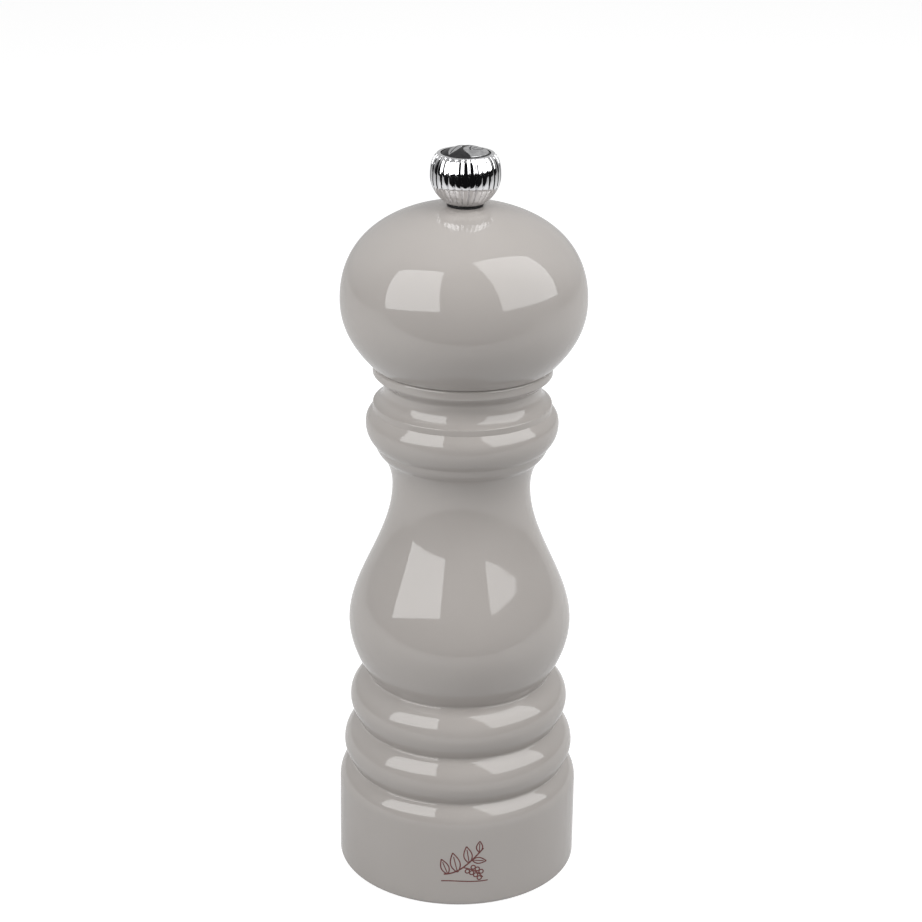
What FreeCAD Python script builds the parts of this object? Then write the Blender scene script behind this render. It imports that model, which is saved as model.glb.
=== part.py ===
import FreeCAD, Part

import math
import os

# Pepper mill, modelled in millimetres. +Z is up, the mill stands on z = 0 and its axis is the Z axis.
# Two turned beech pieces, a body and a head, hold a steel grinding mechanism on one square shaft.
# The head turns the shaft. The fluted knob on the shaft's thread pulls the inner burr up for a finer grind.

# ---- driving dimensions ----
mill_height = 180.0

# body outline, as (radius, height) at each crest and hollow of the turning
foot_radius = 28.2
foot_round = 1.0
base_top = (29.15, 20.3)
hollow_3 = (26.27, 26.14)
bead_2 = (28.0, 30.85)
hollow_2 = (24.48, 37.37)
bead_1 = (26.5, 42.9)
hollow_1 = (22.03, 49.67)
belly = (26.8, 63.6)
waist = (16.43, 98.2)
step_foot = (18.5, 105.7)
ring_foot = (20.6, 109.0)
ring_crest = (22.73, 114.1)
ring_top = (21.1, 117.8)
lip_foot = (21.0, 119.05)
lip_top = (20.75, 119.35)
neck_low = (18.55, 122.7)
neck_high = (18.55, 123.7)
collar_foot = (21.1, 126.7)
collar_top = (21.1, 127.9)
hollow_round = 0.49  # radius in the bottom of each hollow between the beads
edge_round = 0.45

# head outline
seam_z = 128.6
seam_round = 0.6  # how far in the groove at the seam reaches
head_foot = (21.68, 129.1)
head_crest = (28.7, 144.24)
head_top_z = 166.3
head_flat_radius = 4.6

# bores of the body, from the foot up
recess_radius = 22.0
recess_depth = 10.2
burr_seat_radius = 16.5
burr_seat_top = 34.5
magazine_radius = 12.0
mouth_radius = 14.6
mouth_floor = 111.5
mouth_taper = 2.6

# head spigot and its through bore
spigot_radius = 14.3
spigot_foot = 113.0
head_bore_radius = 4.6
head_bore_top = 158.0
neck_bore_radius = 3.2

# square shaft
shaft_side = 5.5
shaft_bottom = 9.5
shaft_square_top = 155.0
stub_radius = 2.4
stub_end = 7.4
thread_radius = 2.45
thread_start = 159.6
thread_pitch = 0.8
thread_turns = 19
thread_depth = 0.35
square_gap = 0.05

# burrs; a groove is (width, depth, twist in degrees), its depth inward when positive
fine_teeth = 24
coarse_teeth = 8
inner_fine_groove = (1.5, 0.6, 9)
inner_coarse_groove = (3.4, 1.1, 38)
outer_fine_groove = (1.5, -0.6, -9)
outer_coarse_groove = (4.4, -1.3, -24)
inner_foot = (9.5, 9.5)
inner_waist = (9.0, 13.5)
inner_top = (5.6, 22.0)
outer_radius = 16.45
outer_foot = (9.9, 10.2)
outer_waist = (9.5, 13.5)
outer_top = (13.6, 27.0)

# guide spider, guide bush and spring
spider_radius = 16.4
spider_skirt = 2.2
spider_arm_width = 5.0
spider_arm_z = (32.5, 34.5)
hub_radius = 6.0
hub_z = (31.5, 37.5)
bush_radius = 4.5
bush_running_gap = 0.06
bush_flange = (6.2, 1.4)
bush_top = 38.0
spring_mean_radius = 5.15
spring_wire_radius = 0.42
spring_z = (22.8, 30.1)
spring_end_gap = 0.02
closed_rise = 0.43  # height of a half turn in the closed ends
open_rise = 0.94  # height of a half turn between them
spring_half_turns = (closed_rise, closed_rise, open_rise, open_rise, open_rise, open_rise, open_rise,
                     closed_rise, closed_rise)

# retaining plate and its screws
plate_radius = 21.6
plate_hole_radius = 11.5
plate_thickness = 1.0
plate_screw_circle = 19.3
plate_screw_count = 3

# drive plate and its screws
drive_plate_radius = 11.0
drive_plate_thickness = 1.5
drive_screw_circle = 7.6
drive_screw_count = 2

# knob
knob_foot = (4.45, 167.0)
knob_crest = (8.15, 173.4)
knob_shoulder = (6.9, 178.05)
knob_rim_z = 178.5
knob_rim_radius = 6.35
knob_ribs = 30
groove_width = 0.42
groove_depth = 0.38
groove_top = 178.0
cap_radius = 5.6
cap_seat_radius = 5.75
cap_seat_z = 176.9
cap_rim_z = 178.45
insert_radius = 4.0
insert_z = (167.7, 176.7)
insert_bore = 2.53

up = FreeCAD.Vector(0, 0, 1)
origin = FreeCAD.Vector(0, 0, 0)


# ---- outline helpers: all outlines lie in the XZ half plane as (radius, height) ----
def at(point):
    return FreeCAD.Vector(point[0], 0, point[1])


def run(*points):
    """Straight edges through the points."""
    return [Part.LineSegment(at(a), at(b)).toShape() for a, b in zip(points, points[1:])]


def arc(start, middle, end):
    return [Part.Arc(at(start), at(middle), at(end)).toShape()]


def bezier(*poles):
    curve = Part.BezierCurve()
    curve.setPoles([at(pole) for pole in poles])
    return [curve.toShape()]


def swell(low, high, hold_low, hold_high):
    """A cubic from one crest or hollow to the next, upright at both ends.

    hold_low and hold_high are the shares of the height over which each end keeps its radius.
    """
    rise = high[1] - low[1]
    return bezier(low, (low[0], low[1] + hold_low * rise), (high[0], high[1] - hold_high * rise), high)


def bead_to_bead(low, low_pull, hollow, lean, high_pull, high):
    """Convex top of the lower bead, the small round in the hollow, and the underside of the next bead.

    lean is how far, in degrees, the two sides stand off upright where they meet the round; each pull is the
    pair of lengths, in mm, over which a side keeps its direction from its lower and its upper end.
    """
    top_lean, under_lean = math.radians(lean[0]), math.radians(lean[1])
    top_end = (hollow[0] + hollow_round * (1 - math.cos(top_lean)), hollow[1] - hollow_round * math.sin(top_lean))
    under_start = (hollow[0] + hollow_round * (1 - math.cos(under_lean)),
                   hollow[1] + hollow_round * math.sin(under_lean))
    top_pole = (top_end[0] + low_pull[1] * math.sin(top_lean), top_end[1] - low_pull[1] * math.cos(top_lean))
    under_pole = (under_start[0] + high_pull[0] * math.sin(under_lean),
                  under_start[1] + high_pull[0] * math.cos(under_lean))
    return (bezier(low, (low[0], low[1] + low_pull[0]), top_pole, top_end)
            + arc(top_end, hollow, under_start)
            + bezier(under_start, under_pole, (high[0], high[1] - high_pull[1]), high))


def turned(edges):
    """The closed outline, turned once about the mill's axis."""
    solid = Part.Face(Part.Wire(edges)).revolve(origin, up, 360)
    if solid.Volume < 0:
        solid.reverse()
    return solid


def rod(radius, low, high):
    return Part.makeCylinder(radius, high - low, FreeCAD.Vector(0, 0, low))


def tube(inner, outer, low, high):
    return rod(outer, low, high).cut(rod(inner, low - 1, high + 1))


def square_bar(side, low, high):
    corner = FreeCAD.Vector(-side / 2, -side / 2, low)
    return Part.makeBox(side, side, high - low, corner)


def turned_copies(shape, count, start=0.0):
    """The shape and its copies, evenly spaced about the axis."""
    copies = []
    for index in range(count):
        copy = shape.copy()
        copy.rotate(origin, up, start + 360.0 * index / count)
        copies.append(copy)
    return copies


def screw_blank(radius, head_radius, length):
    """A countersunk screw standing on its head at the origin, its point up."""
    point_height = 1.6 * radius
    tip_radius = 0.15
    return turned(run((0, 0), (head_radius, 0), (radius, head_radius - radius),
                      (radius, length - point_height), (tip_radius, length), (0, length), (0, 0)))


def cross_recess(radius):
    """The cross-shaped hole that a screwdriver enters."""
    reach = 1.25 * radius
    width = 0.5
    below = 0.3
    depth = 0.7
    slot = Part.makeBox(2 * reach, width, below + depth, FreeCAD.Vector(-reach, -width / 2, -below))
    other = Part.makeBox(width, 2 * reach, below + depth, FreeCAD.Vector(-width / 2, -reach, -below))
    return slot.fuse(other)


# ---- body ----
plate_screw_radius = 1.2
plate_screw_head = 2.2
plate_screw_length = 9.0
plate_bottom = recess_depth - plate_thickness
wood_gap = 0.02  # between a screw and the hole it has cut in the wood
plate_gap = 0.05  # between a screw and its hole in a steel plate


def on_circle(screw, circle, height, count, start):
    """Copies of a screw on a circle about the mill's axis."""
    screw.translate(FreeCAD.Vector(circle, 0, height))
    return Part.makeCompound(turned_copies(screw, count, start))


def plate_screw_holes(gap):
    blank = screw_blank(plate_screw_radius + gap, plate_screw_head + gap, plate_screw_length + gap)
    return on_circle(blank, plate_screw_circle, plate_bottom, plate_screw_count, 90)


def retaining_screws():
    screw = screw_blank(plate_screw_radius, plate_screw_head, plate_screw_length)
    screw = screw.cut(cross_recess(plate_screw_radius))
    return on_circle(screw, plate_screw_circle, plate_bottom, plate_screw_count, 90)


def body_shell():
    """Turned beech: foot, straight base, two beads, belly, waist, neck ring and collar, bored in steps."""
    foot_edge = foot_round * (1 - math.sqrt(0.5))
    foot_rise = base_top[0] - foot_radius
    rim_outer = (collar_top[0] - seam_round, seam_z)
    top_inner = (mouth_radius + edge_round, seam_z)
    foot_middle = (base_top[0] - foot_edge * foot_rise, foot_edge)
    outline = arc((foot_radius, 0), foot_middle, (base_top[0], foot_round))
    outline += run((base_top[0], foot_round), base_top)
    outline += bead_to_bead(base_top, (3.2, 1.6), hollow_3, (52, 31), (1.3, 1.5), bead_2)
    outline += bead_to_bead(bead_2, (3.15, 1.85), hollow_2, (53, 33), (1.7, 1.8), bead_1)
    outline += bead_to_bead(bead_1, (3.75, 1.8), hollow_1, (58, 34), (4.2, 5.0), belly)
    outline += swell(belly, waist, 0.31, 0.38)
    outline += bezier(waist, (16.43, 101.6), (17.3, 103.9), step_foot)
    outline += arc(step_foot, (19.85, 107.25), ring_foot)
    outline += arc(ring_foot, (22.18, 111.3), ring_crest)
    outline += bezier(ring_crest, (22.73, 116.0), (22.02, 116.62), ring_top)
    outline += run(ring_top, lip_foot)
    outline += bezier(lip_foot, (21.0, 119.2), (20.88, 119.3), lip_top)
    outline += bezier(lip_top, (19.7, 119.77), (18.55, 120.95), neck_low)
    outline += run(neck_low, neck_high)
    outline += bezier(neck_high, (18.55, 124.9), (21.1, 125.9), collar_foot)
    outline += run(collar_foot, collar_top)
    outline += bezier(collar_top, (collar_top[0], 128.3), (20.9, seam_z), rim_outer)
    outline += run(rim_outer, top_inner, (mouth_radius, seam_z - edge_round),
                   (mouth_radius, mouth_floor), (magazine_radius, mouth_floor - mouth_taper),
                   (magazine_radius, burr_seat_top), (burr_seat_radius, burr_seat_top),
                   (burr_seat_radius, recess_depth), (recess_radius, recess_depth),
                   (recess_radius, edge_round), (recess_radius + edge_round, 0), (foot_radius, 0))
    return turned(outline).cut(plate_screw_holes(wood_gap))


def retaining_plate():
    """Steel plate under the outer burr, countersunk for its wood screws."""
    plate = tube(plate_hole_radius, plate_radius, plate_bottom, recess_depth)
    return plate.cut(plate_screw_holes(plate_gap))


def guide_spider():
    """Pressed cage on top of the outer burr: a skirt, two arms and a hub that guides the shaft's bush."""
    arm_low, arm_high = spider_arm_z
    skirt = tube(spider_radius - spider_skirt, spider_radius, outer_top[1], arm_high)
    arms = Part.makeBox(spider_arm_width, 2 * (spider_radius - 0.5), arm_high - arm_low,
                        FreeCAD.Vector(-spider_arm_width / 2, 0.5 - spider_radius, arm_low))
    cage = skirt.fuse([arms, rod(hub_radius, hub_z[0], hub_z[1])]).removeSplitter()
    return cage.cut(rod(bush_radius + bush_running_gap, hub_z[0] - 1, hub_z[1] + 1))


# ---- burrs ----
tooth_lip = 0.4  # how far a groove's open side stands off the cone


def tooth_grooves(low, high, groove, count, start=0.0):
    """V grooves up a cone from (radius, height) low to high, each a loft between two triangles."""
    width, depth, twist = groove
    triangles = []
    for (radius, height), angle in ((low, 0.0), (high, math.radians(twist))):
        lip = radius + math.copysign(tooth_lip, depth)
        half = 0.5 * width / radius
        corners = [(radius - depth, angle), (lip, angle + half), (lip, angle - half)]
        points = [FreeCAD.Vector(r * math.cos(a), r * math.sin(a), height) for r, a in corners]
        triangles.append(Part.makePolygon(points + points[:1]))
    return Part.makeCompound(turned_copies(Part.makeLoft(triangles, True, True), count, start))


def beyond(low, high, share):
    """The point that lies a share of the way past high, on the line from low."""
    return tuple(h + share * (h - l) for l, h in zip(low, high))


def inner_burr():
    """Steel cone with fine teeth at its foot and coarse spiral teeth that draw the peppercorns down."""
    cone = turned(run((0, inner_foot[1]), inner_foot, inner_waist, inner_top, (0, inner_top[1]),
                      (0, inner_foot[1])))
    past_foot = beyond(inner_waist, inner_foot, 0.1)
    past_top = beyond(inner_waist, inner_top, 0.05)
    cone = cone.cut(tooth_grooves(past_foot, inner_waist, inner_fine_groove, fine_teeth))
    cone = cone.cut(tooth_grooves(inner_waist, past_top, inner_coarse_groove, coarse_teeth, 5))
    return cone.cut(square_bar(shaft_side + 2 * square_gap, inner_foot[1] - 1, inner_top[1] + 1))


def outer_burr():
    """Steel ring around the inner burr, toothed the other way, widening upwards as a hopper."""
    ring = turned(run(outer_foot, (outer_radius, outer_foot[1]), (outer_radius, outer_top[1]), outer_top,
                      outer_waist, outer_foot))
    past_foot = beyond(outer_waist, outer_foot, 0.1)
    past_top = beyond(outer_waist, outer_top, 0.05)
    ring = ring.cut(tooth_grooves(past_foot, outer_waist, outer_fine_groove, fine_teeth))
    return ring.cut(tooth_grooves(outer_waist, past_top, outer_coarse_groove, coarse_teeth))


# ---- shaft and what is on it ----
clip_groove_z = (8.0, 8.7)
clip_groove_radius = 1.9
stub_chamfer = 0.3
washer_radius = 5.0
clip_radius = 4.1
clip_opening = 2.6


def drive_shaft():
    """Square steel rod with a clip groove in its lower stub and a thread on its upper end."""
    root_radius = thread_radius - thread_depth
    stub = run((0, stub_end), (stub_radius - stub_chamfer, stub_end), (stub_radius, stub_end + stub_chamfer),
               (stub_radius, clip_groove_z[0]), (clip_groove_radius, clip_groove_z[0]),
               (clip_groove_radius, clip_groove_z[1]), (stub_radius, clip_groove_z[1]),
               (stub_radius, shaft_bottom + 1), (0, shaft_bottom + 1), (0, stub_end))
    points = [(0, shaft_square_top - 1), (thread_radius, shaft_square_top - 1), (thread_radius, thread_start)]
    for turn in range(thread_turns):
        root_z = thread_start + (turn + 0.5) * thread_pitch
        points += [(root_radius, root_z), (thread_radius, root_z + thread_pitch / 2)]
    shaft_top = thread_start + (thread_turns + 0.5) * thread_pitch
    points += [(root_radius, shaft_top), (0, shaft_top), points[0]]
    bar = square_bar(shaft_side, shaft_bottom, shaft_square_top)
    return bar.fuse([turned(stub), turned(run(*points))])


def burr_washer():
    return tube(stub_radius + 0.05, washer_radius, clip_groove_z[1], shaft_bottom)


def burr_clip():
    """Open spring clip in the groove below the burr."""
    clip = tube(clip_groove_radius + 0.03, clip_radius, clip_groove_z[0] + 0.05, clip_groove_z[1])
    corner = FreeCAD.Vector(0, -clip_opening / 2, stub_end)
    return clip.cut(Part.makeBox(clip_radius + 1, clip_opening, shaft_bottom - stub_end, corner))


def spring_washer():
    return tube(spring_mean_radius - 1.15, spring_mean_radius + 0.95, inner_top[1], spring_z[0])


def guide_bush():
    """Brass bush that turns in the spider's hub and lets the square shaft slide through it."""
    flange_radius, flange_height = bush_flange
    bush = rod(bush_radius, hub_z[0] - flange_height, bush_top)
    bush = bush.fuse(rod(flange_radius, hub_z[0] - flange_height, hub_z[0])).removeSplitter()
    return bush.cut(square_bar(shaft_side + 2 * square_gap, hub_z[0] - flange_height - 1, bush_top + 1))


def spring():
    """Compression spring with closed ends, between the washer on the burr and the bush's flange.

    Each half turn is a tilted arc of wire that starts and ends square to the XZ plane.
    """
    height = spring_z[0] + spring_end_gap + spring_wire_radius
    side = 1
    coils = []
    for rise in spring_half_turns:
        wire_centre = FreeCAD.Vector(side * spring_mean_radius, 0, height)
        section = Part.makeCircle(spring_wire_radius, wire_centre, FreeCAD.Vector(0, 1, 0))
        middle = FreeCAD.Vector(0, 0, height + rise / 2)
        tilted_axis = FreeCAD.Vector(side * rise, 0, 2 * spring_mean_radius)
        coils.append(Part.Face(Part.Wire([section])).revolve(middle, tilted_axis, 180))
        height += rise
        side = -side
    return coils[0].fuse(coils[1:])


# ---- head ----
drive_screw_radius = 1.25
drive_screw_head = 2.3
drive_screw_length = 11.0
drive_plate_bottom = spigot_foot - drive_plate_thickness
thrust_thickness = 0.8
thrust_radius = 4.0
knob_washer_radius = 4.2
ring_bore_radius = 2.9


def drive_screw_holes(gap):
    blank = screw_blank(drive_screw_radius + gap, drive_screw_head + gap, drive_screw_length + gap)
    return on_circle(blank, drive_screw_circle, drive_plate_bottom, drive_screw_count, 0)


def drive_plate_screws():
    screw = screw_blank(drive_screw_radius, drive_screw_head, drive_screw_length)
    screw = screw.cut(cross_recess(drive_screw_radius))
    return on_circle(screw, drive_screw_circle, drive_plate_bottom, drive_screw_count, 0)


def head_shell():
    """Turned beech: a flattened ball over a spigot, bored through for the shaft."""
    under_edge = (collar_top[0] - seam_round, seam_z)
    top_flat = (head_flat_radius, head_top_z)
    outline = bezier(under_edge, (20.95, seam_z), (21.15, 128.75), head_foot)
    outline += bezier(head_foot, (26.43, 134.02), (28.7, 138.55), head_crest)
    outline += bezier(head_crest, (28.7, 160.6), (13.6, 165.55), top_flat)
    seat_radius = thrust_radius + 0.05
    seat_z = head_top_z - thrust_thickness
    outline += run(top_flat, (seat_radius, head_top_z), (seat_radius, seat_z), (neck_bore_radius, seat_z),
                   (neck_bore_radius, head_bore_top), (head_bore_radius, head_bore_top),
                   (head_bore_radius, spigot_foot), (spigot_radius - edge_round, spigot_foot),
                   (spigot_radius, spigot_foot + edge_round), (spigot_radius, seam_z), under_edge)
    return turned(outline).cut(drive_screw_holes(wood_gap))


def drive_plate():
    """Steel plate under the spigot whose square hole turns the shaft."""
    plate = rod(drive_plate_radius, drive_plate_bottom, spigot_foot)
    plate = plate.cut(square_bar(shaft_side + 2 * square_gap, drive_plate_bottom - 1, spigot_foot + 1))
    return plate.cut(drive_screw_holes(plate_gap))


def thrust_washer():
    return tube(ring_bore_radius, thrust_radius, head_top_z - thrust_thickness, head_top_z)


def knob_washer():
    """Black friction ring between the head and the knob."""
    return tube(ring_bore_radius, knob_washer_radius, head_top_z, knob_foot[1])


# ---- knob ----
def knob_side(inset):
    """The knob's rising side, from its foot to its shoulder, moved in by inset."""
    def moved(radius, height):
        return (radius - inset, height)
    lower = bezier(moved(*knob_foot), moved(6.6, 168.6), moved(8.15, 170.6), moved(*knob_crest))
    upper = bezier(moved(*knob_crest), moved(8.15, 175.4), moved(7.75, 177.2), moved(*knob_shoulder))
    return lower + upper


def knob_shell():
    """Chromed zinc ball with narrow grooves that leave convex ribs, and a smooth collar round the cap."""
    outline = knob_side(0.0)
    outline += bezier(knob_shoulder, (6.75, 178.2), (6.6, knob_rim_z), (knob_rim_radius, knob_rim_z))
    socket_radius = insert_radius + 0.02
    bore_radius = thread_radius + 0.4
    outline += run((knob_rim_radius, knob_rim_z), (cap_seat_radius, knob_rim_z),
                   (cap_seat_radius, cap_seat_z), (socket_radius, cap_seat_z), (socket_radius, insert_z[0]),
                   (bore_radius, insert_z[0]), (bore_radius, knob_foot[1]), knob_foot)
    ball = turned(outline)
    far = knob_crest[0] + 3
    blade_edges = knob_side(groove_depth)
    blade_edges += run((knob_shoulder[0] - groove_depth, knob_shoulder[1]), (far, knob_shoulder[1]),
                       (far, knob_foot[1]), (knob_foot[0] - groove_depth, knob_foot[1]))
    blade = Part.Face(Part.Wire(blade_edges)).extrude(FreeCAD.Vector(0, groove_width, 0))
    blade.translate(FreeCAD.Vector(0, -groove_width / 2, 0))
    blade = blade.cut(tube(0.1, far + 1, groove_top, knob_shoulder[1] + 1))
    return ball.cut(Part.makeCompound(turned_copies(blade, knob_ribs)))


def knob_insert():
    """Brass insert that the shaft's thread screws into."""
    return tube(insert_bore, insert_radius, insert_z[0], insert_z[1])


def knob_cap():
    """Domed disc set into the top of the knob."""
    radius = cap_radius
    rise = mill_height - cap_rim_z
    dome = (radius ** 2 + rise ** 2) / (2 * rise)
    half_way = radius / 2
    middle = (half_way, mill_height - dome + math.sqrt(dome ** 2 - half_way ** 2))
    outline = arc((radius, cap_rim_z), middle, (0, mill_height))
    outline += run((0, mill_height), (0, cap_seat_z), (radius, cap_seat_z), (radius, cap_rim_z))
    return turned(outline)


nodes = {
    "body_shell": body_shell(),
    "outer_burr": outer_burr(),
    "guide_spider": guide_spider(),
    "retaining_plate": retaining_plate(),
    "retaining_screws": retaining_screws(),
    "guide_bush": guide_bush(),
    "spring": spring(),
    "drive_shaft": drive_shaft(),
    "inner_burr": inner_burr(),
    "spring_washer": spring_washer(),
    "burr_washer": burr_washer(),
    "burr_clip": burr_clip(),
    "head_shell": head_shell(),
    "drive_plate": drive_plate(),
    "drive_plate_screws": drive_plate_screws(),
    "thrust_washer": thrust_washer(),
    "knob_washer": knob_washer(),
    "knob_shell": knob_shell(),
    "knob_insert": knob_insert(),
    "knob_cap": knob_cap(),
}

os.makedirs("parts", exist_ok=True)
for name, shape in nodes.items():
    shape.exportStep(f"parts/{name}.step")
    state = "valid" if shape.isValid() else "not valid"
    print(f"{name:20s} {len(shape.Solids):2d} solids, {state}, {shape.Volume:10.2f} mm3")
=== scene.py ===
import math

import bpy
import numpy as np
from mathutils import Matrix, Vector


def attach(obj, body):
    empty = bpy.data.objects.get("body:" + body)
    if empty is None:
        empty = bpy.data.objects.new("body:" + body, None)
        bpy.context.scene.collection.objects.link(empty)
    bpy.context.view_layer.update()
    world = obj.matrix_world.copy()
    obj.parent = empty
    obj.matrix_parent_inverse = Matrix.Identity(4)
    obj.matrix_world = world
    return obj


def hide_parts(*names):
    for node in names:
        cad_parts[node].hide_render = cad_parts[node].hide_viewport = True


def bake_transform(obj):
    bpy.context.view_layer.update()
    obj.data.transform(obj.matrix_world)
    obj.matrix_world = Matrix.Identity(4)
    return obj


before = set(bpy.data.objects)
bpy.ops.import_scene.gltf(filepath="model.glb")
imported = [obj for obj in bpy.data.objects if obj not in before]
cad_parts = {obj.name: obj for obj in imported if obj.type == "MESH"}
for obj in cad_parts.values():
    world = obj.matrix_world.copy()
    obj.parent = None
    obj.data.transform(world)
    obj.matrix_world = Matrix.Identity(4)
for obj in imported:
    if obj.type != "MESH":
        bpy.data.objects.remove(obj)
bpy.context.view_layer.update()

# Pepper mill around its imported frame. Blender works in metres; the shapes below are written in
# millimetres as (radius, height) and brought down by this factor when they are put into a mesh.
mm = 0.001
scene = bpy.context.scene


# outline pieces: rows of (radius, height); each leaves out its last point, which the next one starts with
def straight(a, b, count=1):
    # even steps from a towards b
    t = np.arange(count)[:, None] / count
    return np.array(a) + t * (np.array(b) - np.array(a))


def curve(a, b, c, d, count=20):
    # cubic Bezier: the ends weighted by the cubes of s and t, the inner poles by 3sst and 3stt
    t = np.arange(count)[:, None] / count
    s = 1 - t
    a, b, c, d = (np.array(pole) for pole in (a, b, c, d))
    return s ** 3 * a + 3 * s * s * t * b + 3 * s * t * t * c + t ** 3 * d


def swell(low, high, holdLow, holdHigh, count=30):
    # from one crest or hollow to the next, upright at both ends, each holding its radius for a share
    # of the rise
    rise = high[1] - low[1]
    return curve(low, (low[0], low[1] + holdLow * rise), (high[0], high[1] - holdHigh * rise), high, count)


def bow(a, b, c, count=12):
    # the circle through a, b and c: its centre is as far from all three, then even turns from a to c
    a, b, c = np.array(a), np.array(b), np.array(c)
    centre = np.linalg.solve(2 * np.array([b - a, c - a]), [b @ b - a @ a, c @ c - a @ a])
    start = math.atan2(*(a - centre)[::-1])
    turn = (math.atan2(*(c - centre)[::-1]) - start + math.pi) % (2 * math.pi) - math.pi
    angle = start + turn * np.arange(count) / count
    return centre + np.linalg.norm(a - centre) * np.stack([np.cos(angle), np.sin(angle)], 1)


def through(*points):
    # straight runs through the points
    return np.vstack([straight(a, b) for a, b in zip(points, points[1:])])


def easeStep(value, start, end):
    # 0 before start, 1 after end, and the smooth cubic 3tt - 2ttt between
    t = np.clip((value - start) / (end - start), 0, 1)
    return t * t * (3 - 2 * t)


# meshes
def putMesh(name, points, faces, materials, faceMaterial=None, sharpAngle=32):
    # points in millimetres, faces as lists of corners; edges folded past sharpAngle degrees stay crisp
    mesh = bpy.data.meshes.new(name)
    mesh.from_pydata((points * mm).tolist(), [], faces)
    for material in materials:
        mesh.materials.append(material)
    if faceMaterial is not None:
        mesh.polygons.foreach_set("material_index", faceMaterial)
    mesh.polygons.foreach_set("use_smooth", [True] * len(faces))
    mesh.set_sharp_from_angle(angle=math.radians(sharpAngle))
    mesh.update()
    piece = bpy.data.objects.new(name, mesh)
    scene.collection.objects.link(piece)
    return piece


def quadsBetween(index, closedUp):
    # index[i, j] is the point j places round the axis on row i; each quad joins it to the next row
    # and column
    low = index if closedUp else index[:-1]
    high = np.roll(index, -1, 0) if closedUp else index[1:]
    return np.stack([low, np.roll(low, -1, 1), np.roll(high, -1, 1), high], -1).reshape(-1, 4)


def ringForm(name, grid, materials, rowMaterial=None, sharpAngle=32):
    # a form with a hole up its middle: the last row joins the first, so the skin has no open edge
    rows, columns = grid.shape[:2]
    quads = quadsBetween(np.arange(rows * columns).reshape(rows, columns), True)
    faceMaterial = None if rowMaterial is None else np.repeat(rowMaterial, columns)
    return putMesh(name, grid.reshape(-1, 3), quads.tolist(), materials, faceMaterial, sharpAngle)


def solidForm(name, grid, materials, sharpAngle=32):
    # a form that ends on the axis: a fan of triangles closes its first row and another its last
    rows, columns = grid.shape[:2]
    index = np.arange(rows * columns).reshape(rows, columns)
    quads = quadsBetween(index, False)
    foot, top = rows * columns, rows * columns + 1
    footFan = np.stack([np.full(columns, foot), np.roll(index[0], -1), index[0]], 1)
    topFan = np.stack([np.full(columns, top), index[-1], np.roll(index[-1], -1)], 1)
    ends = [(0, 0, grid[0, :, 2].mean()), (0, 0, grid[-1, :, 2].mean())]
    points = np.vstack([grid.reshape(-1, 3), ends])
    faces = quads.tolist() + footFan.tolist() + topFan.tolist()
    return putMesh(name, points, faces, materials, sharpAngle=sharpAngle)


def spun(radius, angle, height):
    # points round the axis: x = r cos a, y = r sin a, z = height
    return np.stack([radius * np.cos(angle), radius * np.sin(angle), height * np.ones_like(radius)], -1)


def turned(outline, columns):
    # every outline point carried all the way round
    angle = np.arange(columns) * 2 * np.pi / columns
    return spun(outline[:, :1] * np.ones(columns), angle, outline[:, 1:] * np.ones(columns))


# materials
def newMaterial(name, colour, **sockets):
    # uniform values go straight on the shader's own sockets; the finish that calls this links the rest
    material = bpy.data.materials.new(name)
    material.use_nodes = True
    shader = material.node_tree.nodes["Principled BSDF"]
    shader.inputs["Base Color"].default_value = (*colour, 1)
    for socket, value in sockets.items():
        shader.inputs[socket].default_value = value
    return material, shader


def mottle(material, scale, stretch=(1, 1, 1), detail=3.0):
    # noise on the piece's own coordinates; a small stretch on one axis draws the pattern out along it
    nodes, links = material.node_tree.nodes, material.node_tree.links
    place = nodes.new("ShaderNodeTexCoord")
    mapping = nodes.new("ShaderNodeMapping")
    mapping.inputs["Scale"].default_value = stretch
    noise = nodes.new("ShaderNodeTexNoise")
    noise.inputs["Scale"].default_value = scale
    noise.inputs["Detail"].default_value = detail
    links.new(place.outputs["Object"], mapping.inputs["Vector"])
    links.new(mapping.outputs["Vector"], noise.inputs["Vector"])
    return noise.outputs["Fac"]


def ramp(material, value, stops, smooth=False):
    # from one (position, colour) stop to the other along a value
    node = material.node_tree.nodes.new("ShaderNodeValToRGB")
    node.color_ramp.interpolation = "EASE" if smooth else "LINEAR"
    for element, (position, colour) in zip(node.color_ramp.elements, stops):
        element.position = position
        element.color = (*colour, 1)
    material.node_tree.links.new(value, node.inputs["Fac"])
    return node.outputs["Color"]


def between(material, value, low, high, start=0.3, end=0.7):
    # value between start and end brought to between low and high
    node = material.node_tree.nodes.new("ShaderNodeMapRange")
    node.inputs["From Min"].default_value = start
    node.inputs["From Max"].default_value = end
    node.inputs["To Min"].default_value = low
    node.inputs["To Max"].default_value = high
    material.node_tree.links.new(value, node.inputs["Value"])
    return node.outputs["Result"]


def blendColour(material, share, first, second):
    # first where share is 0, second where it is 1
    node = material.node_tree.nodes.new("ShaderNodeMix")
    node.data_type = "RGBA"
    for source, socket in ((share, 0), (first, 6), (second, 7)):
        if isinstance(source, bpy.types.NodeSocket):
            material.node_tree.links.new(source, node.inputs[socket])
        else:
            node.inputs[socket].default_value = source
    return node.outputs[2]


def dent(material, shader, value, distance, after=None):
    # bump whose full swing is distance metres
    node = material.node_tree.nodes.new("ShaderNodeBump")
    node.inputs["Distance"].default_value = distance
    material.node_tree.links.new(value, node.inputs["Height"])
    if after is not None:
        material.node_tree.links.new(after, node.inputs["Normal"])
    material.node_tree.links.new(node.outputs["Normal"], shader.inputs["Normal"])
    return node.outputs["Normal"]


def link(material, value, shader, socket):
    material.node_tree.links.new(value, shader.inputs[socket])


def tint(material, shader, value, low, high):
    # base colour from one (position, colour) stop to the other along a value
    link(material, ramp(material, value, [low, high]), shader, "Base Color")


def shine(material, shader, value, low, high):
    # roughness from low to high along a value
    link(material, between(material, value, low, high), shader, "Roughness")


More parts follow.
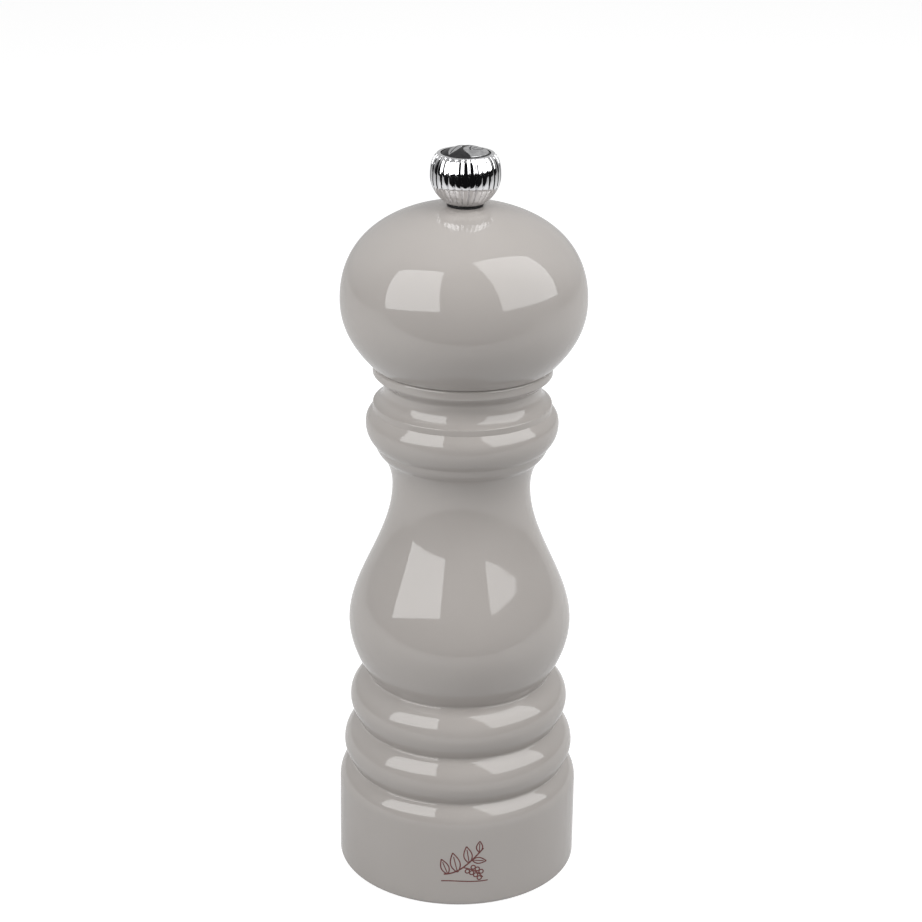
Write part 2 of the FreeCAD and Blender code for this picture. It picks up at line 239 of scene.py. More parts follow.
lacquerLook = {
    "tone": (0.364, 0.342, 0.325),
    "darker": (0.354, 0.331, 0.313),
    "gloss": (0.035, 0.07),
    "peel": 0.000012,  # swing of the sprayed surface, metres
    "turning": 0.000006,  # swing of the lathe's rings under the paint
}


def greyLacquer():
    # gloss paint: faint drift of tone, gloss that varies a little, a soft orange peel, and the lathe's
    # rings showing through as noise squeezed along the height
    look = lacquerLook
    material, shader = newMaterial("grey lacquer", look["tone"], IOR=1.5)
    drift = mottle(material, 38, detail=2)
    tint(material, shader, drift, (0.35, look["darker"]), (0.65, look["tone"]))
    shine(material, shader, mottle(material, 160), *look["gloss"])
    peel = dent(material, shader, mottle(material, 210, detail=1.5), look["peel"])
    dent(material, shader, mottle(material, 60, stretch=(0.25, 0.25, 6)), look["turning"], after=peel)
    return material


beechLook = {"light": (0.60, 0.395, 0.235), "dark": (0.42, 0.25, 0.135), "fleck": (0.22, 0.115, 0.06)}


def bareBeech():
    # grain drawn out along the axis between two tones, with the short dark rays of beech over it
    look = beechLook
    material, shader = newMaterial("bare beech", look["light"], Roughness=0.62)
    grain = mottle(material, 90, stretch=(6, 6, 0.5), detail=5)
    wood = ramp(material, grain, [(0.32, look["dark"]), (0.6, look["light"])], smooth=True)
    rays = mottle(material, 420, stretch=(2.2, 2.2, 0.5), detail=1)
    rayMask = between(material, rays, 0, 0.75, start=0.63, end=0.72)
    link(material, blendColour(material, rayMask, wood, (*look["fleck"], 1)), shader, "Base Color")
    dent(material, shader, mottle(material, 700, stretch=(3, 3, 0.2)), 0.00004)
    return material


def steel(name, colour, gloss, scale, stretch=(1, 1, 1), swing=0.000015, darker=0.72):
    # metal whose tone and gloss follow the same tool or rolling marks that the bump has
    material, shader = newMaterial(name, colour, Metallic=1.0)
    marks = mottle(material, scale, stretch=stretch, detail=4)
    low = tuple(darker * channel for channel in colour)
    tint(material, shader, marks, (0.3, low), (0.65, colour))
    shine(material, shader, marks, gloss[1], gloss[0])
    dent(material, shader, marks, swing)
    return material


def plated(name, colour, gloss):
    # zinc or nickel plate: small crystals of slightly different tone, and fine handling marks
    material, shader = newMaterial(name, colour, Metallic=1.0)
    nodes, links = material.node_tree.nodes, material.node_tree.links
    place = nodes.new("ShaderNodeTexCoord")
    crystals = nodes.new("ShaderNodeTexVoronoi")
    crystals.inputs["Scale"].default_value = 900
    links.new(place.outputs["Object"], crystals.inputs["Vector"])
    grey = nodes.new("ShaderNodeRGBToBW")
    links.new(crystals.outputs["Color"], grey.inputs["Color"])
    low = tuple(0.8 * channel for channel in colour)
    tint(material, shader, grey.outputs["Val"], (0.2, low), (0.8, colour))
    marks = mottle(material, 260, detail=5)
    shine(material, shader, marks, *gloss)
    dent(material, shader, marks, 0.00001)
    return material


def polishedChrome():
    # bright plating with a breath of haze and a few soft waves left by the casting
    material, shader = newMaterial("chrome", (0.80, 0.80, 0.81), Metallic=1.0)
    haze = mottle(material, 700, detail=4)
    shine(material, shader, haze, 0.035, 0.10)
    tint(material, shader, mottle(material, 300), (0.3, (0.72, 0.72, 0.735)), (0.6, (0.82, 0.82, 0.83)))
    dent(material, shader, mottle(material, 420, detail=2), 0.000012)
    return material


def discMetal():
    # the disc's engraving: the tone attribute runs from dark enamel at 0 to bare metal at 1; the dark
    # enamel also paints the shade in the groove round the disc's edge
    material, shader = newMaterial("knob disc", (0.7, 0.7, 0.7), **{"Specular IOR Level": 0.15})
    tone = material.node_tree.nodes.new("ShaderNodeAttribute")
    tone.attribute_name = "tone"
    grain = ramp(material, mottle(material, 900, detail=4),
                 [(0.3, (0.50, 0.50, 0.51)), (0.7, (0.74, 0.74, 0.745))])
    enamelAndShade = ramp(material, mottle(material, 1200),
                  [(0.3, (0.012, 0.012, 0.013)), (0.7, (0.028, 0.027, 0.028))])
    link(material, blendColour(material, tone.outputs["Fac"], enamelAndShade, grain), shader, "Base Color")
    link(material, tone.outputs["Fac"], shader, "Metallic")
    link(material, between(material, tone.outputs["Fac"], 0.38, 0.2, start=0, end=1), shader, "Roughness")
    dent(material, shader, mottle(material, 800), 0.00001)
    return material


def blackNylon():
    # moulded black with a fine grain that its tone, gloss and bump share
    material, shader = newMaterial("black nylon", (0.012, 0.012, 0.013), **{"Specular IOR Level": 0.2})
    grain = mottle(material, 1500, detail=2)
    shine(material, shader, grain, 0.38, 0.55)
    tint(material, shader, grain, (0.3, (0.008, 0.008, 0.009)), (0.7, (0.018, 0.018, 0.019)))
    dent(material, shader, grain, 0.00002)
    return material


def printedInk():
    # thin screen print: dark red brown, thinner and lighter in places
    material, shader = newMaterial("printed ink", (0.12, 0.028, 0.026), Roughness=0.35)
    cover = mottle(material, 1800, detail=3)
    tint(material, shader, cover, (0.3, (0.15, 0.045, 0.04)), (0.6, (0.095, 0.018, 0.018)))
    return material


lacquer = greyLacquer()
beech = bareBeech()
chrome = polishedChrome()
nylon = blackNylon()
ink = printedInk()
discFinish = discMetal()
springWire = steel("spring wire", (0.50, 0.495, 0.49), (0.16, 0.30), 900)
shaftSteel = steel("drawn steel", (0.56, 0.555, 0.55), (0.18, 0.34), 500, stretch=(3, 3, 0.12))
print("materials made")


# body: foot, straight base, two beads, belly, waist, neck ring and collar, bored in steps
bodyShape = {
    "foot": ((28.2, 0), (28.872, 0.293), (29.15, 1.0)),
    "baseTop": (29.15, 20.3),
    "hollowRound": 0.49,
    # pulls of the lower bead's top, hollow, lean of its two sides, pulls of the next underside, next crest
    "beads": (
        ((3.2, 1.6), (26.27, 26.14), (52, 31), (1.3, 1.5), (28.0, 30.85)),
        ((3.15, 1.85), (24.48, 37.37), (53, 33), (1.7, 1.8), (26.5, 42.9)),
        ((3.75, 1.8), (22.03, 49.67), (58, 34), (4.2, 5.0), (26.8, 63.6)),
    ),
    "waist": ((16.43, 98.2), 0.31, 0.38),
    "step": ((16.43, 101.6), (17.3, 103.9), (18.5, 105.7)),
    "cove": ((18.5, 105.7), (19.85, 107.25), (20.6, 109.0)),
    "ringUnder": ((20.6, 109.0), (22.18, 111.3), (22.73, 114.1)),
    "ringOver": ((22.73, 114.1), (22.73, 116.0), (22.02, 116.62), (21.1, 117.8)),
    "lip": ((21.0, 119.05), (21.0, 119.2), (20.88, 119.3), (20.75, 119.35)),
    "shoulder": ((20.75, 119.35), (19.7, 119.77), (18.55, 120.95), (18.55, 122.7)),
    "neck": ((18.55, 123.7), (18.55, 124.9), (21.1, 125.9), (21.1, 126.7)),
    "rim": ((21.1, 127.9), (21.1, 128.3), (20.9, 128.6), (20.5, 128.6)),
    "bore": (
        (20.5, 128.6), (15.05, 128.6), (14.6, 128.15), (14.6, 111.5), (12.0, 108.9), (12.0, 34.5),
        (16.5, 34.5), (16.5, 10.2), (22.0, 10.2), (22.0, 0.45), (22.45, 0), (28.2, 0),
    ),
    "columns": 192,
}


def beadToBead(low, topPull, hollow, lean, underPull, high):
    # convex top of the lower bead, the small round in the hollow, and the underside of the next bead;
    # a side that leans by an angle meets the round at radius + round (1 - cos), height -/+ round sin
    size = bodyShape["hollowRound"]
    (topCos, underCos), (topSin, underSin) = np.cos(np.radians(lean)), np.sin(np.radians(lean))
    topEnd = (hollow[0] + size * (1 - topCos), hollow[1] - size * topSin)
    underStart = (hollow[0] + size * (1 - underCos), hollow[1] + size * underSin)
    topPole = (topEnd[0] + topPull[1] * topSin, topEnd[1] - topPull[1] * topCos)
    underPole = (underStart[0] + underPull[0] * underSin, underStart[1] + underPull[0] * underCos)
    return [curve(low, (low[0], low[1] + topPull[0]), topPole, topEnd, 20),
            bow(topEnd, hollow, underStart, 10),
            curve(underStart, underPole, (high[0], high[1] - underPull[1]), high, 18)]


def bodyCase():
    shape = bodyShape
    outside = [bow(*shape["foot"], count=8), straight(shape["foot"][2], shape["baseTop"], 6)]
    low = shape["baseTop"]
    for topPull, hollow, lean, underPull, high in shape["beads"]:
        outside += beadToBead(low, topPull, hollow, lean, underPull, high)
        low = high
    waist = shape["waist"][0]
    outside += [swell(low, *shape["waist"]), curve(waist, *shape["step"], count=14),
                bow(*shape["cove"], count=8), bow(*shape["ringUnder"], count=14),
                curve(*shape["ringOver"], count=14),
                through(shape["ringOver"][3], shape["lip"][0]), curve(*shape["lip"], count=5),
                curve(*shape["shoulder"], count=16), through(shape["shoulder"][3], shape["neck"][0]),
                curve(*shape["neck"], count=18), through(shape["neck"][3], shape["rim"][0]),
                curve(*shape["rim"], count=6)]
    outside = np.vstack(outside)
    outline = np.vstack([outside, through(*shape["bore"])])
    # paint on the outside and under the foot, bare wood in the bores and on the rim
    wood = (np.arange(len(outline)) >= len(outside)).astype(int)
    wood[-1] = 0
    return ringForm("body_case", turned(outline, shape["columns"]), [lacquer, beech], wood)


body = bodyCase()
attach(body, "body")
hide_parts("body_shell")
print("body turned")


# head: a flattened ball over a spigot, bored through for the shaft
headShape = {
    "edge": ((20.5, 128.62), (20.95, 128.62), (21.15, 128.75), (21.68, 129.1)),
    "under": ((21.68, 129.1), (26.43, 134.02), (28.7, 138.55), (28.7, 144.24)),
    "over": ((28.7, 144.24), (28.7, 160.6), (13.6, 165.55), (4.6, 166.3)),
    "bore": (
        (4.6, 166.3), (4.05, 166.3), (4.05, 165.5), (3.2, 165.5), (3.2, 158.0), (4.6, 158.0), (4.6, 113.0),
        (13.85, 113.0), (14.3, 113.45), (14.3, 128.62), (20.5, 128.62),
    ),
    "columns": 192,
}


def headCase():
    shape = headShape
    outside = np.vstack([curve(*shape["edge"], count=8), curve(*shape["under"], count=70),
                         curve(*shape["over"], count=110)])
    outline = np.vstack([outside, through(*shape["bore"])])
    wood = (np.arange(len(outline)) > len(outside)).astype(int)
    return ringForm("head_case", turned(outline, shape["columns"]), [lacquer, beech], wood)


head = headCase()
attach(head, "head")
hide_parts("head_shell")
print("head turned")


# knob: a cast ball whose convex ribs meet in narrow grooves, with a smooth collar at the top
knobShape = {
    "lower": ((4.45, 167.0), (6.6, 168.6), (8.15, 170.6), (8.15, 173.4)),
    "upper": ((8.15, 173.4), (8.15, 175.4), (7.75, 177.2), (6.9, 178.05)),
    "collar": ((6.9, 178.05), (6.75, 178.2), (6.6, 178.5), (6.35, 178.5)),
    "inside": ((6.35, 178.5), (5.75, 178.5), (5.75, 176.9), (4.02, 176.9), (4.02, 167.7), (2.85, 167.7),
               (2.85, 167.0), (4.45, 167.0)),
    "ribs": 30,
    "pointsPerRib": 16,
    "ribCrown": 0.26,
    "ribShoulder": 0.66,  # share of a rib's half width where it starts to drop
    "grooveDepth": 0.40,
    "grooveStart": (167.0, 168.0),
    "grooveEnd": (178.2, 178.5),
}


def knobBall():
    shape = knobShape
    outside = np.vstack([curve(*shape["lower"], count=30), curve(*shape["upper"], count=34),
                         curve(*shape["collar"], count=10)])
    outline = np.vstack([outside, through(*shape["inside"])])
    # across[j] runs from -1 to 1 over a rib, closer together near the grooves
    step = np.arange(shape["pointsPerRib"]) / shape["pointsPerRib"]
    across = -np.cos(np.pi * step)
    angle = (np.arange(shape["ribs"])[:, None] + (across + 1) / 2).ravel() * 2 * np.pi / shape["ribs"]
    # a rib is nearly flat, falling with across squared, and drops into its groove over its outer third
    crown = shape["ribCrown"]
    fall = crown * across ** 2 + (1 - crown) * easeStep(np.abs(across), shape["ribShoulder"], 1)
    height = outline[:, 1:]
    depth = shape["grooveDepth"] * easeStep(height, *shape["grooveStart"])
    depth *= 1 - easeStep(height, *shape["grooveEnd"])
    depth[len(outside):] = 0
    radius = outline[:, :1] - depth * np.tile(fall, shape["ribs"])
    return ringForm("knob_ball", spun(radius, angle, height), [chrome], sharpAngle=40)


knob = knobBall()
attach(knob, "knob")
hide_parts("knob_shell")


# disc in the knob's top: a low dome with two leaves, one bright on enamel and one enamel on bright, inside
# a dark edge ring that is painted shade of the groove round the disc
discShape = {
    "radius": 5.6,
    "rim": 178.45,
    "top": 180.0,
    "seat": 176.9,
    "edgeRound": 0.14,
    "relief": 0.10,
    "rings": 64,
    "columns": 240,
    "innermost": 0.02,  # radius of the last ring before the axis
    "bevel": ((0.0, 0.16), (0.03, 0.06)),  # in from the side and down from the rim
    "paintedShadeBorder": 5.15,  # plain dark enamel beyond this radius, a painted shade for the groove round the disc
    "wave": (0.9, 0.9, 0.3),  # swing, radians per millimetre and shift of the line between the sides
    "leafLength": 6.4,
    "leafWidth": 2.3,
    "leafTurn": 62,
    "veinShare": 0.82,
    "brightLeaf": (-2.3, -0.4),
    "brightVein": 0.16,
    "darkLeaf": (2.5, 0.5),
    "darkLine": 0.2,
    "darkReach": 3.2,
    "darkVein": 0.14,
}


def leafDistance(x, y, centre):
    # an almond whose half width falls with the square of the way to its tips: distance from its edge,
    # below 0 inside, and from its vein
    shape = discShape
    turn = math.radians(shape["leafTurn"])
    c, s = math.cos(turn), math.sin(turn)
    along = (x - centre[0]) * c + (y - centre[1]) * s
    across = -(x - centre[0]) * s + (y - centre[1]) * c
    half = shape["leafLength"] / 2
    width = shape["leafWidth"] / 2 * np.clip(1 - (along / half) ** 2, 0, 1)
    vein = np.where(np.abs(along) < half * shape["veinShare"], np.abs(across), np.inf)
    return np.abs(across) - width, vein


def knobDisc():
    shape = discShape
    radius, rim = shape["radius"], shape["rim"]
    rise = shape["top"] - rim
    sphere = (radius ** 2 + rise ** 2) / (2 * rise)
    tiny = shape["innermost"]
    flat = np.linspace(radius - shape["edgeRound"], tiny, shape["rings"])
    # the dome's height is the top less what the sphere drops by that radius
    dome = shape["top"] - sphere + np.sqrt(sphere ** 2 - flat ** 2)
    seat = shape["seat"]
    side = np.array([(tiny, seat), (radius - tiny, seat), (radius, seat + tiny),
                     *((radius - inward, rim - down) for inward, down in shape["bevel"])])
    outline = np.vstack([side, np.stack([flat, dome], 1)])
    angle = np.arange(shape["columns"]) * 2 * np.pi / shape["columns"]
    ring = outline[:, :1] * np.ones_like(angle)
    x, y = ring * np.cos(angle), ring * np.sin(angle)
    # a wave parts the enamelled side from the bright one
    swing, rate, shift = shape["wave"]
    tone = np.where(x < swing * np.sin(y * rate) + shift, 0.0, 1.0)
    brightLeaf, brightVein = leafDistance(x, y, shape["brightLeaf"])
    darkLeaf, darkVein = leafDistance(x, y, shape["darkLeaf"])
    near = np.hypot(x - shape["darkLeaf"][0], y - shape["darkLeaf"][1]) < shape["darkReach"]
    tone = np.where((brightLeaf < 0) & (brightVein > shape["brightVein"]), 1.0, tone)
    tone = np.where((np.abs(darkLeaf) < shape["darkLine"]) & near, 0.0, tone)
    tone = np.where(darkVein < shape["darkVein"], 0.0, tone)
    onTop = (np.arange(len(outline)) >= len(side))[:, None]
    # the disc's side and its outer ring stay dark enamel: painted shade of the groove between disc and
    # collar
    tone = np.where(onTop & (ring < shape["paintedShadeBorder"]), tone, 0.0)
    height = outline[:, 1:] - np.where(onTop, shape["relief"] * (1 - tone), 0)
    piece = solidForm("knob_disc", np.stack([x, y, height], -1), [discFinish], sharpAngle=60)
    values = np.append(tone.ravel(), [0.0, 0.0])
    attribute = piece.data.attributes.new("tone", "FLOAT", "POINT")
    attribute.data.foreach_set("value", values)
    return piece


disc = knobDisc()
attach(disc, "knob")
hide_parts("knob_cap")
print("knob and its disc made")


# black ring between head and knob
ringShape = {"inner": 2.9, "outer": 4.2, "low": 166.3, "high": 167.0, "round": 0.12, "columns": 120}


def slipRing():
    shape = ringShape
    inner, outer, low, high, edge = (shape[key] for key in ("inner", "outer", "low", "high", "round"))
    cut = edge * (1 - math.sqrt(0.5))
    outline = np.vstack([
        bow((outer - edge, low), (outer - cut, low + cut), (outer, low + edge), count=4),
        straight((outer, low + edge), (outer, high - edge)),
        bow((outer, high - edge), (outer - cut, high - cut), (outer - edge, high), count=4),
        through((outer - edge, high), (inner, high), (inner, low), (outer - edge, low)),
    ])
    return ringForm("slip_ring", turned(outline, shape["columns"]), [nylon], sharpAngle=40)


slip = slipRing()
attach(slip, "knob_ring")
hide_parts("knob_washer")


# drive rod: round stub with a clip groove, long square bar, and a threaded end
rodShape = {
    "half": 2.75,
    "squareness": 20,
    "stub": ((2.1, 7.4), (2.4, 7.7), (2.4, 8.0), (1.9, 8.0), (1.9, 8.7), (2.4, 8.7), (2.4, 9.5)),
    "squareEnds": (9.5, 155.0),
    "squareRows": 12,
    "shoulder": 0.25,  # height of the step from square to round
    "round": 2.45,
    "threadStart": 159.6,
    "threadEnd": 175.2,
    "pitch": 0.8,
    "depth": 0.35,
    "endBevel": (0.45, 0.5),  # in from the side and down from the top
    "rowsPerTurn": 14,
    "columns": 96,
}


def driveRod():
    shape = rodShape
    angle = np.arange(shape["columns"]) * 2 * np.pi / shape["columns"]
    # rounded square: the half side over the p norm of cosine and sine
    power = shape["squareness"]
    total = np.abs(np.cos(angle)) ** power + np.abs(np.sin(angle)) ** power
    square = shape["half"] / total ** (1 / power)
    # each row is radius, height and 1 where the bar is square
    rows = [(r, z, 0.0) for r, z in shape["stub"]]
    low, high = shape["squareEnds"]
    rows += [(shape["half"], z, 1.0) for z in np.linspace(low, high, shape["squareRows"])]
    rows += [(shape["round"], high + shape["shoulder"], 0.0), (shape["round"], shape["threadStart"], 0.0)]
    rows = np.array(rows)
    turns = (shape["threadEnd"] - shape["threadStart"]) / shape["pitch"]
    threadRowCount = int(turns * shape["rowsPerTurn"])
    threadZ = np.linspace(shape["threadStart"], shape["threadEnd"], threadRowCount)[1:]
    threadRows = np.stack([np.full_like(threadZ, shape["round"]), threadZ, np.zeros_like(threadZ)], 1)
    rows = np.vstack([rows, threadRows])
    radius, height, squared = rows[:, :1], rows[:, 1:2], rows[:, 2:]
    # the thread: a triangle wave of height over pitch that a full turn shifts by one
    phase = (height - shape["threadStart"]) / shape["pitch"] - angle / (2 * np.pi)
    wave = 2 * np.abs(phase - np.floor(phase) - 0.5)
    started = easeStep(height, shape["threadStart"], shape["threadStart"] + shape["pitch"])
    cut = shape["depth"] * started * (1 - wave)
    inward, down = shape["endBevel"]
    endBevel = inward * easeStep(height, shape["threadEnd"] - down, shape["threadEnd"])
    grid = (1 - squared) * (radius - cut - endBevel) + squared * square
    return solidForm("drive_rod", spun(grid, angle, height), [shaftSteel], sharpAngle=35)


rod = driveRod()
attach(rod, "shaft")
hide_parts("drive_shaft")
print("slip ring and drive rod made")


# compression spring between the burr's washer and the bush: closed ends, open turns between
springShape = {
    "meanRadius": 5.15,
    "wireRadius": 0.42,
    "low": 22.82,
    "closed": 0.43,  # rise of a half turn
    "open": 0.94,
    "halfTurns": ("closed", "closed", "open", "open", "open", "open", "open", "closed", "closed"),
    "steps": 20,  # along each half turn
    "wireSides": 14,
    # two heights, in metres
    "ends": (0.0292, 0.0237),
}


def coilSpring():
    # a half turn of wire is a tilted arc, so its height gains the rise times (1 - cos) / 2
    shape = springShape
    rises = np.array([shape[kind] for kind in shape["halfTurns"]])
    starts = shape["low"] + shape["wireRadius"] + np.append(0, np.cumsum(rises))
    step = np.arange(shape["steps"]) * np.pi / shape["steps"]
    height = starts[:-1, None] + rises[:, None] * (1 - np.cos(step)) / 2
    height = np.append(height, starts[-1])
    angle = np.arange(len(height)) * np.pi / shape["steps"]
    centre = spun(np.full_like(angle, shape["meanRadius"]), angle, height)
    travel = np.gradient(centre, axis=0)
    travel /= np.linalg.norm(travel, axis=1)[:, None]
    outward = spun(np.ones_like(angle), angle, 0)
    upward = np.cross(travel, outward)
    # round the wire: cosine outward and sine upward, about its centre
    turn = np.arange(shape["wireSides"])[:, None] * 2 * np.pi / shape["wireSides"]
    around = np.cos(turn) * outward[:, None] + np.sin(turn) * upward[:, None]
    grid = centre[:, None] + shape["wireRadius"] * around
    index = np.arange(len(angle) * len(turn)).reshape(len(angle), len(turn))
    faces = quadsBetween(index, False).tolist() + [index[0][::-1].tolist(), index[-1].tolist()]
    return putMesh("coil_spring", grid.reshape(-1, 3), faces, [springWire])


coil = coilSpring()
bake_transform(coil)
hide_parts("spring")
print("spring wound")


# printed mark on the base: a peppercorn sprig, each line a thin raised strip of ink wrapped on the base
sprigShape = {
    "baseRadius": 29.15,
    "turn": math.radians(4.4),
    "height": 12.1,
    "line": 0.31,
    "sunk": 0.03,
    "proud": 0.014,
    "stem": ((-5.2, -3.4), (-1.8, -3.2), (0.8, -0.6), (4.6, 3.9)),
    "leaves": (  # foot of the leaf, its direction in degrees, length, half width
        ((-4.2, -3.35), 112, 4.3, 0.95), ((-1.9, -2.75), 103, 5.4, 1.15), ((0.9, -0.3), 99, 4.6, 1.0),
        ((3.3, 2.5), 88, 3.0, 0.75), ((1.6, 0.5), -8, 3.5, 0.8),
    ),
    "leafSkew": 0.85,  # below 1 brings a leaf's widest place nearer its foot
    "leafSections": 26,
    "midribSections": 21,
    "stemWidth": 1.25,  # as shares of the line
    "midribWidth": 0.8,
    "berryStem": ((-0.6, -1.5), (1.4, -1.9), (3.0, -2.6), (4.4, -4.6)),
    "berries": 7,
    "berryRadius": 0.52,
    "berryAside": (0.434, 0.62),
    "berryPlaces": (8, 3),  # section of the hanging stem where the first sits, and sections between them
    "ground": ((-5.8, -5.3), (-2.0, -4.85), (2.0, -5.75), (5.8, -5.3)),
}


def inkStrips(paths, widths):
    # each path becomes a closed flat bar: four corners a section, across the path by half its width,
    # from just under the paint to just over it; flat (across, up) is wrapped as angle = across over radius
    shape = sprigShape
    points, faces, count = [], [], 0
    inner, outer = shape["baseRadius"] - shape["sunk"], shape["baseRadius"] + shape["proud"]
    for path, width in zip(paths, widths):
        along = np.gradient(path, axis=0)
        along /= np.linalg.norm(along, axis=1)[:, None] + 1e-9
        side = np.stack([-along[:, 1], along[:, 0]], 1) * np.reshape(width, (-1, 1)) / 2
        corners = [(path + side, inner), (path - side, inner), (path - side, outer), (path + side, outer)]
        for flat, radius in corners:
            angle = shape["turn"] - np.pi / 2 + flat[:, 0] / shape["baseRadius"]
            points.append(spun(np.full(len(flat), radius), angle, shape["height"] + flat[:, 1]))
        rows = len(path)
        index = count + np.arange(4 * rows).reshape(4, rows).T
        faces += quadsBetween(index, False).tolist()
        faces += [index[0][::-1].tolist(), index[-1].tolist()]
        count += 4 * rows
    return np.vstack(points), faces


def printedSprig():
    shape = sprigShape
    line = shape["line"]
    paths, widths = [], []

    def draw(path, width):
        paths.append(path)
        widths.append(width)

    stem = curve(*shape["stem"], count=40)
    draw(stem, line * shape["stemWidth"])
    for foot, direction, length, half in shape["leaves"]:
        # a leaf's edge leaves its midrib by half the width times the sine of the share of its length
        turn = math.radians(direction)
        along = np.array([math.cos(turn), math.sin(turn)])
        across = np.array([-along[1], along[0]])
        share = np.linspace(0, 1, shape["leafSections"])[:, None]
        bulge = half * np.sin(np.pi * share ** shape["leafSkew"])
        draw(np.array(foot) + share * length * along + bulge * across, line)
        draw(np.array(foot) + share * length * along - bulge * across, line)
        midrib = share[:shape["midribSections"]] * length * along
        draw(np.array(foot) + midrib, line * shape["midribWidth"])
    hanging = curve(*shape["berryStem"], count=30)
    draw(hanging, line)
    turnStep = np.linspace(0, 2 * np.pi, 25)[:, None]
    first, gap = shape["berryPlaces"]
    for berry in range(shape["berries"]):
        # berries sit to either side of the hanging stem by turns
        side = 1 if berry % 2 else -1
        centre = hanging[first + gap * berry] + side * np.array(shape["berryAside"])
        circle = centre + shape["berryRadius"] * np.hstack([np.cos(turnStep), np.sin(turnStep)])
        draw(circle, line)
    draw(curve(*shape["ground"], count=40), line)
    points, faces = inkStrips(paths, widths)
    return putMesh("printed_sprig", points, faces, [ink], sharpAngle=30)


sprig = printedSprig()
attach(sprig, "body")
print("sprig printed")


# finishes for the parts that keep their frame shape
nodeFinish = {
    "outer_burr": steel("burr steel", (0.30, 0.295, 0.29), (0.30, 0.48), 420, swing=0.00003),
    "guide_spider": plated("pressed steel", (0.60, 0.60, 0.61), (0.24, 0.42)),
    "retaining_screws": plated("zinc plate", (0.66, 0.66, 0.62), (0.22, 0.38)),
    "guide_bush": steel("brass", (0.72, 0.50, 0.22), (0.20, 0.36), 600, stretch=(1, 1, 8), darker=0.85),
    "spring_washer": plated("washer steel", (0.58, 0.58, 0.59), (0.22, 0.40)),
    "burr_clip": steel("blued steel", (0.16, 0.17, 0.20), (0.26, 0.40), 700),
    "thrust_washer": nylon,
}
nodeFinish["inner_burr"] = nodeFinish["outer_burr"]
nodeFinish["retaining_plate"] = nodeFinish["guide_spider"]
nodeFinish["drive_plate"] = nodeFinish["guide_spider"]
nodeFinish["drive_plate_screws"] = nodeFinish["retaining_screws"]
nodeFinish["burr_washer"] = nodeFinish["spring_washer"]
nodeFinish["knob_insert"] = nodeFinish["guide_bush"]
for nodeName, material in nodeFinish.items():
    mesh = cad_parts[nodeName].data
    mesh.materials.clear()
    mesh.materials.append(material)
print("frame parts finished")


# studio: pale table that stops a little way in front, two softboxes, a room dark in front and white behind
studio = {
    "table": ((-1.2, 1.2), (-0.26, 2.2)),
    "tableLevel": -0.00005,
    "tableTone": (0.46, 0.46, 0.46),
    "tableSeen": 0.76,
    "tableMirrored": 0.3,
    "tableGloss": {"Roughness": 0.9, "Specular IOR Level": 0.1},
    "backward": (0, 0.75, 0.8),  # how much pointing back and up count towards the light side of the room
    "turnsLight": (0.15, 0.75),
    "front": (0.006, 0.006, 0.0065),
    "back": (0.55, 0.55, 0.55),
    "backdrop": (1.0, 1.0, 1.0),
    # radiance, then corners: two low, two high
    "softboxes": {
        "left": (4.2, (-0.174, -0.342, 0.170), (-0.590, -0.190, 0.169),
                 (-0.596, -0.048, 0.655), (-0.157, -0.345, 0.790)),
        "right": (3.4, (0.205, -0.261, 0.205), (0.870, 0.065, 0.235),
                  (0.533, 0.229, 0.945), (0.095, -0.245, 0.905)),
    },
    # low light in front of the foot, left out of reflections
    "fill": (1.3, (-0.24, -0.175, 0.004), (0.24, -0.175, 0.004),
             (0.24, -0.185, 0.04), (-0.24, -0.185, 0.04)),
}


def table():
    (left, right), (front, back) = studio["table"]
    level = studio["tableLevel"]
    flat = np.array([(left, front), (right, front), (right, back), (left, back)])
    corners = np.hstack([flat, np.full((4, 1), level)]) / mm
    # the table looks nearly white to the camera and bright in the gloss, but throws only its own tone
    # on the mill
    material, shader = newMaterial("table", studio["tableTone"], **studio["tableGloss"])
    shader.inputs["Emission Color"].default_value = (1, 1, 1, 1)
    seen = material.node_tree.nodes.new("ShaderNodeLightPath")
    mirrored = between(material, seen.outputs["Is Glossy Ray"], 0, studio["tableMirrored"], start=0, end=1)
    glow = material.node_tree.nodes.new("ShaderNodeMath")
    glow.operation = "MULTIPLY_ADD"
    glow.inputs[1].default_value = studio["tableSeen"]
    material.node_tree.links.new(seen.outputs["Is Camera Ray"], glow.inputs[0])
    material.node_tree.links.new(mirrored, glow.inputs[2])
    link(material, glow.outputs[0], shader, "Emission Strength")
    piece = putMesh("table", corners, [(0, 1, 2, 3)], [material])


def softbox(name, radiance, corners, mirrored=True):
    # a rectangle on the corners' middle, its sides the means of opposite edges, facing the mill
    low0, low1, high1, high0 = (Vector(corner) for corner in corners)
    across = (low1 - low0 + high1 - high0) / 2
    upward = (high0 - low0 + high1 - low1) / 2
    centre = (low0 + low1 + high0 + high1) / 4
    outward = across.cross(upward).normalized()
    if outward.dot(-centre) < 0:
        across, outward = -across, -outward
    xAxis = across.normalized()
    yAxis = outward.cross(xAxis)
    # an area light shines along its own -Z
    turn = Matrix((-xAxis, yAxis, -outward)).transposed().to_4x4()
    light = bpy.data.lights.new(name, "AREA")
    light.shape = "RECTANGLE"
    light.size = across.length
    light.size_y = upward.length
    light.energy = radiance * math.pi * light.size * light.size_y
    lamp = bpy.data.objects.new(name, light)
    lamp.matrix_world = Matrix.Translation(centre) @ turn
    lamp.visible_camera = False
    lamp.visible_glossy = mirrored
    scene.collection.objects.link(lamp)


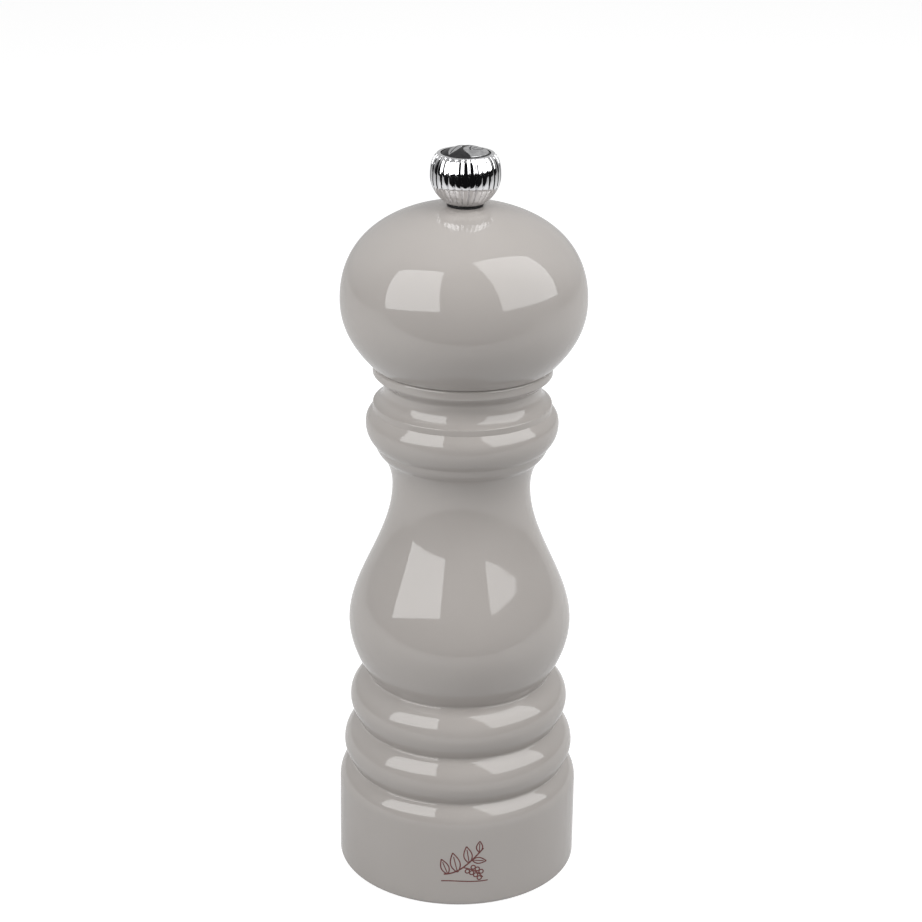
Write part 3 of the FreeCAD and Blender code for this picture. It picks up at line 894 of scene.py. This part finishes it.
def room():
    # what surrounds the mill: dark towards the front, white behind and overhead, mixed by a weighted sum
    # of how far a direction points back and up; the backdrop seen straight on is plain white
    world = bpy.data.worlds.new("room")
    scene.world = world
    world.use_nodes = True
    nodes, links = world.node_tree.nodes, world.node_tree.links
    nodes.clear()
    direction = nodes.new("ShaderNodeTexCoord")
    weighted = nodes.new("ShaderNodeVectorMath")
    weighted.operation = "DOT_PRODUCT"
    weighted.inputs[1].default_value = studio["backward"]
    shade = nodes.new("ShaderNodeMapRange")
    shade.interpolation_type = "SMOOTHSTEP"
    shade.inputs["From Min"].default_value, shade.inputs["From Max"].default_value = studio["turnsLight"]
    mix = nodes.new("ShaderNodeMix")
    mix.data_type = "RGBA"
    mix.inputs[6].default_value = (*studio["front"], 1)
    mix.inputs[7].default_value = (*studio["back"], 1)
    seen = nodes.new("ShaderNodeLightPath")
    surround = nodes.new("ShaderNodeBackground")
    backdrop = nodes.new("ShaderNodeBackground")
    backdrop.inputs["Color"].default_value = (*studio["backdrop"], 1)
    either = nodes.new("ShaderNodeMixShader")
    output = nodes.new("ShaderNodeOutputWorld")
    links.new(direction.outputs["Generated"], weighted.inputs[0])
    links.new(weighted.outputs["Value"], shade.inputs["Value"])
    links.new(shade.outputs["Result"], mix.inputs[0])
    links.new(mix.outputs[2], surround.inputs["Color"])
    links.new(seen.outputs["Is Camera Ray"], either.inputs[0])
    links.new(surround.outputs[0], either.inputs[1])
    links.new(backdrop.outputs[0], either.inputs[2])
    links.new(either.outputs[0], output.inputs["Surface"])


table()
for side, (radiance, *corners) in studio["softboxes"].items():
    softbox(side + " softbox", radiance, corners)
softbox("low fill", studio["fill"][0], studio["fill"][1:], mirrored=False)
room()
scene.view_settings.view_transform = "Standard"
print("studio set")


# camera: a little above the mill and close, leaning by less than a degree
cameraShape = {
    "place": (-0.00015, -0.520, 0.304),
    "tilt": 68.95,
    "lean": 0.78,
    "lens": 91.75,
    "sensor": 36,
    "nearest": 0.01,
}
cameraData = bpy.data.cameras.new("camera")
cameraData.lens = cameraShape["lens"]
cameraData.sensor_width = cameraShape["sensor"]
cameraData.clip_start = cameraShape["nearest"]
camera = bpy.data.objects.new("camera", cameraData)
camera.matrix_world = (Matrix.Translation(cameraShape["place"])
                       @ Matrix.Rotation(math.radians(cameraShape["tilt"]), 4, "X")
                       @ Matrix.Rotation(math.radians(cameraShape["lean"]), 4, "Z"))
scene.collection.objects.link(camera)
scene.camera = camera
